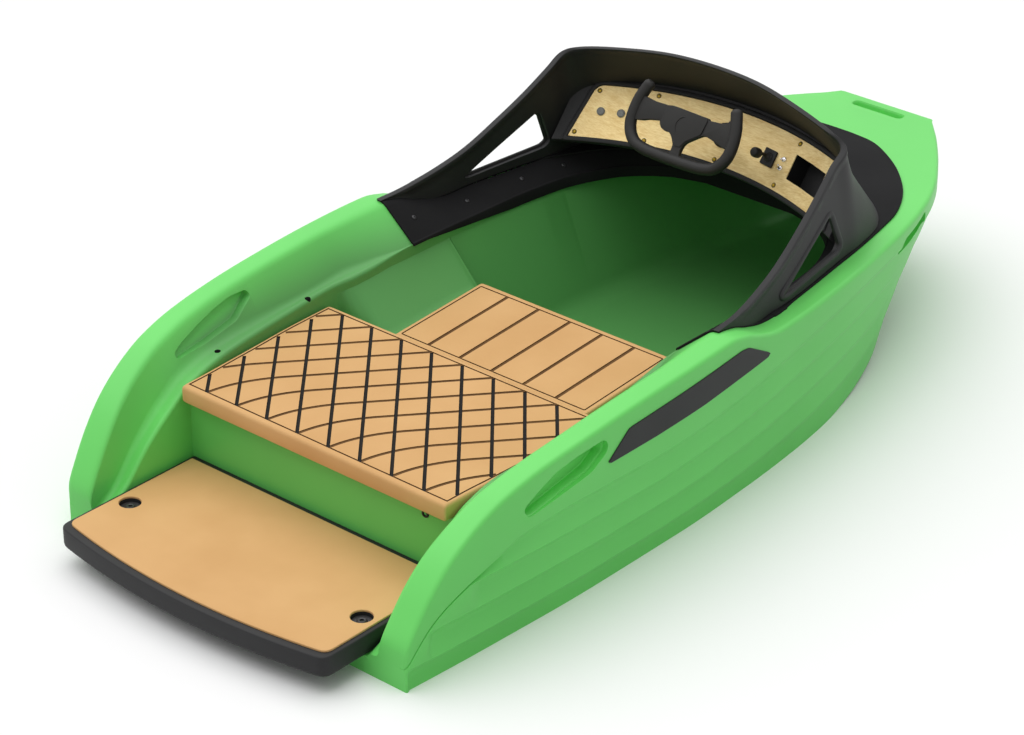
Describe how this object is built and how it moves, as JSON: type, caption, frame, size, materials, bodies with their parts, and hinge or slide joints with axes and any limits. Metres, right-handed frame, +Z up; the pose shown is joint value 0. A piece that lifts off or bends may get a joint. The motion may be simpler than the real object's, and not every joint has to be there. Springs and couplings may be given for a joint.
{
  "type": "electric jet boat",
  "caption": "Small one-seat electric jet boat with a lapped-plank hull, hatch seat, wrap-round windscreen cowl, steering yoke and stern boarding platform.",
  "frame": {"origin": "on the waterline, on the centreline, amidships", "axes": "+X to starboard, +Y to the bow, +Z up"},
  "size_m": [1.136, 2.545, 0.835],
  "materials": {
    "green_gelcoat": "glossy moulded skin",
    "black_moulding": "satin",
    "black_grip": "satin",
    "tan_foam": "closed-cell foam sheet",
    "brass_sheet": "brushed",
    "dark_steel": "dark",
    "steel": "brushed",
    "chrome_trim": "polished",
    "grey_button": "satin",
    "motor_case": "cast",
    "jet_metal": "cast",
    "battery_case": "satin"
  },
  "bodies": {
    "boat": {"hull": "green_gelcoat", "deck": "green_gelcoat", "stern_platform": "black_moulding", "platform_pad": "tan_foam", "latch_port": "dark_steel", "latch_starboard": "dark_steel", "hatch_hinge_port": "dark_steel", "hatch_hinge_starboard": "dark_steel", "seat_pad": "tan_foam", "motor": "motor_case", "battery": "battery_case", "intake_grate": "steel", "jet_housing": "jet_metal", "cowl_lining_port": "black_moulding", "cowl_lining_starboard": "black_moulding", "foredeck_panel": "black_moulding", "windscreen_cowl": "black_moulding", "dash_frame": "black_moulding", "dash_plate": "brass_sheet", "gauge_port": "grey_button", "gauge_starboard": "grey_button", "throttle_base": "black_moulding", "throttle_lever": "black_moulding", "toggle_1": "chrome_trim", "toggle_2": "chrome_trim", "column_bearing": "black_moulding", "side_panel_port": "black_moulding", "side_panel_starboard": "black_moulding", "drain_plug": "steel"},
    "hatch": {"hatch_lid": "tan_foam"},
    "yoke": {"steering_yoke": "black_grip"},
    "nozzle": {"steering_nozzle": "jet_metal"},
    "rotor": {"impeller": "steel"}
  },
  "joints": [
    {"name": "hatch_hinge", "type": "hinge", "parent": "boat", "child": "hatch", "pos_m": [0, -0.371, 0.254], "axis": [-1, 0, 0], "range_deg": [0, 70]},
    {"name": "steering_column", "type": "hinge", "parent": "boat", "child": "yoke", "pos_m": [0, 0.406, 0.61], "axis": [0, -0.8729, 0.4879], "range_deg": [-90, 90]},
    {"name": "nozzle_pivot", "type": "hinge", "parent": "boat", "child": "nozzle", "pos_m": [0, -1.032, -0.035], "axis": [0, 0, 1], "range_deg": [-20, 20]},
    {"name": "impeller_spin", "type": "hinge", "parent": "boat", "child": "rotor", "pos_m": [0, -0.86, -0.035], "axis": [0, 1, 0], "continuous": true}
  ],
  "couplings": [
    {"joint": "nozzle_pivot", "follows": "steering_column", "ratio": -0.2222}
  ]
}
